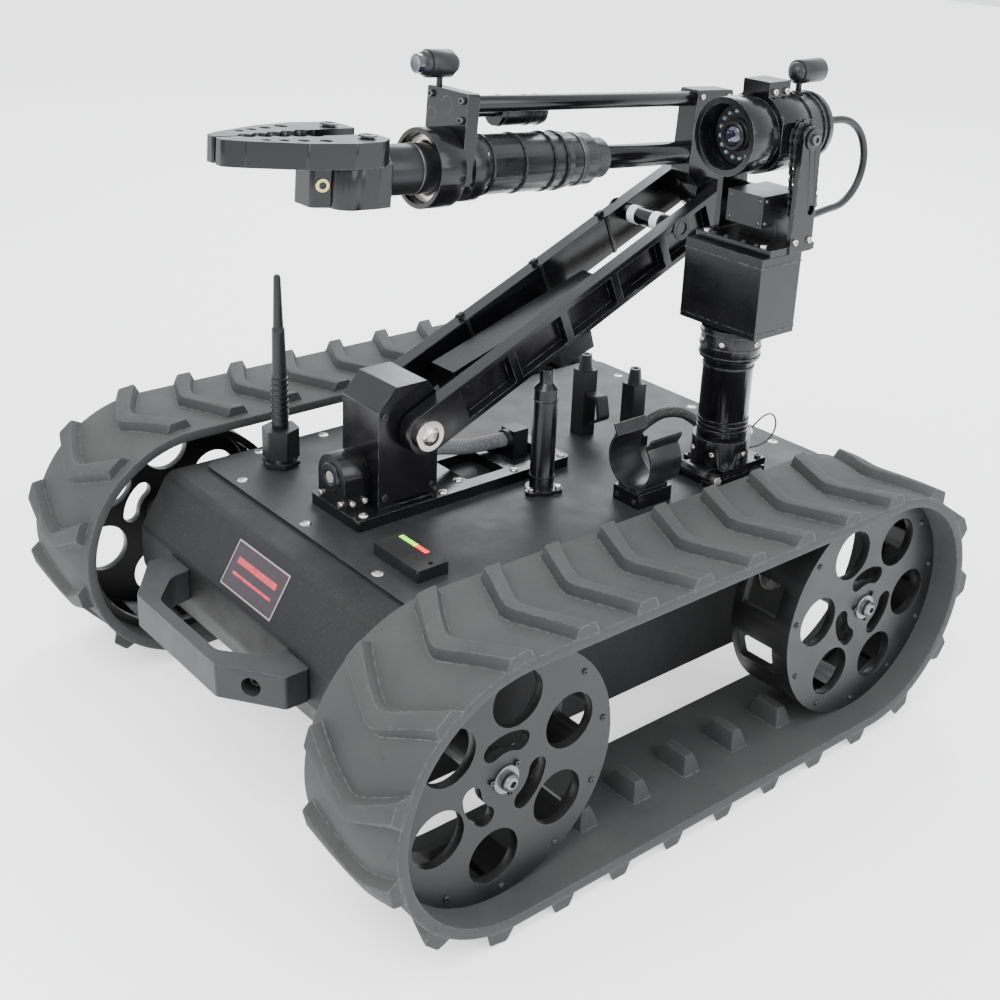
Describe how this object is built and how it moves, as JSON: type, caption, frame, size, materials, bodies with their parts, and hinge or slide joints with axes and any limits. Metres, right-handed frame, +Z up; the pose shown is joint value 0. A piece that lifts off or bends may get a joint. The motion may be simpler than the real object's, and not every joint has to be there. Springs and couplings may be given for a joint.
{
  "type": "tracked robot with folding arm and camera mast",
  "caption": "Tracked mobile robot: rubber belts on pierced wheels, a sealed hull, a folding arm with a gripper, and a folding camera mast.",
  "frame": {"origin": "on the ground, under the middle of the two track belts", "axes": "+X forward, towards the handle; +Y to the left side; +Z up"},
  "size_m": [0.6463, 0.579, 0.5784],
  "materials": {
    "hull_powder": "matt textured powder coat",
    "deck_powder": "satin powder coat with fine speckle",
    "black_anodised": "satin black anodised, bright at handled edges",
    "track_rubber": "matt dusty moulded rubber",
    "wheel_plastic": "machined satin black plastic",
    "handle_plastic": "fine-grained moulded plastic",
    "antenna_plastic": "satin moulded plastic",
    "bright_steel": "machined bright steel",
    "black_steel": "black oxide, lightly oiled",
    "motor_black": "satin black",
    "soft_rubber": "soft matt rubber",
    "sleeve_braid": "grey spiral sleeve",
    "black_braid": "black braided sleeve",
    "lens_glass": "coated glass",
    "meter_case": "satin black case with coloured lamps",
    "battery_case": "shrink-wrapped packs",
    "controller_aluminium": "plain aluminium"
  },
  "bodies": {
    "chassis": {"hull_shell": "hull_powder", "deck_plate": "deck_powder", "screws": "bright_steel", "battery_packs": "battery_case", "controller_case": "controller_aluminium", "drive_gearmotors": "bright_steel", "axle_bearings": "bright_steel", "track_left": "track_rubber", "track_right": "track_rubber", "front_handle": "handle_plastic", "charge_meter": "meter_case", "cable_glands": "antenna_plastic", "antenna_whip": "antenna_plastic", "arm_base_plate": "black_anodised", "shoulder_pedestal": "black_anodised", "gear_housing": "black_anodised", "cable_sleeve": "sleeve_braid", "payload_post": "black_anodised", "rest_posts": "soft_rubber", "clip_block": "black_anodised", "mast_clips": "black_steel", "mast_foot": "black_anodised", "mast_hinge_pin": "bright_steel", "mast_cable": "black_braid"},
    "worm": {"worm_shaft": "bright_steel"},
    "front_left_wheel": {"wheel_front_left": "wheel_plastic"},
    "front_right_wheel": {"wheel_front_right": "wheel_plastic"},
    "rear_left_wheel": {"wheel_rear_left": "wheel_plastic"},
    "rear_right_wheel": {"wheel_rear_right": "wheel_plastic"},
    "upper_arm": {"arm_bar_left": "black_anodised", "arm_bar_right": "black_anodised", "arm_cross_rods": "black_anodised", "shoulder_shaft": "bright_steel", "actuator_body": "motor_black"},
    "elbow_actuator_rod": {"actuator_rod": "bright_steel"},
    "forearm": {"elbow_block": "black_anodised", "forearm_tubes": "black_anodised", "wrist_motor": "motor_black", "gripper_motor": "motor_black", "wrist_bracket": "black_anodised", "bearing_collar": "black_anodised", "arm_camera": "soft_rubber"},
    "wrist": {"wrist_shaft": "black_steel", "gripper_housing": "black_anodised"},
    "left_jaw": {"jaw_left": "black_anodised"},
    "right_jaw": {"jaw_right": "black_anodised"},
    "mast": {"mast_collar": "black_anodised", "mast_tube": "black_anodised", "lock_pin_lanyard": "black_braid"},
    "mast_lock": {"lock_pin": "bright_steel"},
    "pan_head": {"pan_box": "motor_black", "tilt_yoke": "black_anodised", "tilt_motor": "motor_black", "tilt_chain": "black_steel", "camera_lead": "soft_rubber"},
    "tilt_sprocket": {"motor_sprocket": "black_steel"},
    "camera_head": {"camera_body": "black_anodised", "camera_lens": "lens_glass", "rear_camera": "soft_rubber", "tilt_shafts": "black_steel"}
  },
  "joints": [
    {"name": "rear_left_wheel_spin", "type": "hinge", "parent": "chassis", "child": "rear_left_wheel", "pos_m": [-0.2032, 0.21, 0.12], "axis": [0, 1, 0], "continuous": true},
    {"name": "front_left_wheel_spin", "type": "hinge", "parent": "chassis", "child": "front_left_wheel", "pos_m": [0.2032, 0.21, 0.12], "axis": [0, 1, 0], "continuous": true},
    {"name": "rear_right_wheel_spin", "type": "hinge", "parent": "chassis", "child": "rear_right_wheel", "pos_m": [-0.2032, -0.21, 0.12], "axis": [0, 1, 0], "continuous": true},
    {"name": "front_right_wheel_spin", "type": "hinge", "parent": "chassis", "child": "front_right_wheel", "pos_m": [0.2032, -0.21, 0.12], "axis": [0, 1, 0], "continuous": true},
    {"name": "shoulder", "type": "hinge", "parent": "chassis", "child": "upper_arm", "pos_m": [0.109, 0, 0.281], "axis": [0, 1, 0], "range_deg": [-10, 60]},
    {"name": "worm_spin", "type": "hinge", "parent": "chassis", "child": "worm", "pos_m": [0.13, -0.004, 0.2425], "axis": [1, 0, 0], "continuous": true},
    {"name": "elbow", "type": "hinge", "parent": "upper_arm", "child": "forearm", "pos_m": [-0.23975, 0, 0.43192], "axis": [0, -1, 0], "range_deg": [-10, 60]},
    {"name": "elbow_drive", "type": "slide", "parent": "upper_arm", "child": "elbow_actuator_rod", "axis": [0.9527, 0, -0.304], "range_m": [-0.01, 0.045]},
    {"name": "wrist_roll", "type": "hinge", "parent": "forearm", "child": "wrist", "pos_m": [0.1072, 0, 0.49043], "axis": [0.9979, 0, 0.0645], "range_deg": [-170, 170]},
    {"name": "left_jaw_pivot", "type": "hinge", "parent": "wrist", "child": "left_jaw", "pos_m": [0.1578, 0.026, 0.51374], "axis": [-0.0645, 0, 0.9979], "range_deg": [0, 45]},
    {"name": "right_jaw_pivot", "type": "hinge", "parent": "wrist", "child": "right_jaw", "pos_m": [0.1578, -0.026, 0.51374], "axis": [-0.0645, 0, 0.9979], "range_deg": [-45, 0]},
    {"name": "mast_fold", "type": "hinge", "parent": "chassis", "child": "mast", "pos_m": [-0.131, 0.1215, 0.214], "axis": [0, 1, 0], "range_deg": [0, 86], "deforming": ["mast_clips"]},
    {"name": "lock_pin_pull", "type": "slide", "parent": "mast", "child": "mast_lock", "axis": [-1, 0, 0], "range_m": [0, 0.022], "deforming": ["lock_pin_lanyard"]},
    {"name": "pan", "type": "hinge", "parent": "mast", "child": "pan_head", "pos_m": [-0.16, 0.1215, 0.36], "axis": [0, 0, 1], "range_deg": [-120, 35]},
    {"name": "tilt", "type": "hinge", "parent": "pan_head", "child": "camera_head", "pos_m": [-0.184, 0.1215, 0.514], "axis": [0, -1, 0], "range_deg": [-24, 30], "deforming": ["camera_lead"]},
    {"name": "tilt_drive", "type": "hinge", "parent": "pan_head", "child": "tilt_sprocket", "pos_m": [-0.19198, 0.15, 0.45423], "axis": [0, -1, 0], "range_deg": [-24, 30]}
  ],
  "couplings": [
    {"joint": "front_left_wheel_spin", "follows": "rear_left_wheel_spin", "ratio": 1},
    {"joint": "front_right_wheel_spin", "follows": "rear_right_wheel_spin", "ratio": 1},
    {"joint": "worm_spin", "follows": "shoulder", "ratio": 40},
    {"joint": "elbow_drive", "follows": "elbow", "m_per_rad": 0.0374},
    {"joint": "right_jaw_pivot", "follows": "left_jaw_pivot", "ratio": -1},
    {"joint": "tilt_drive", "follows": "tilt", "ratio": 1}
  ]
}
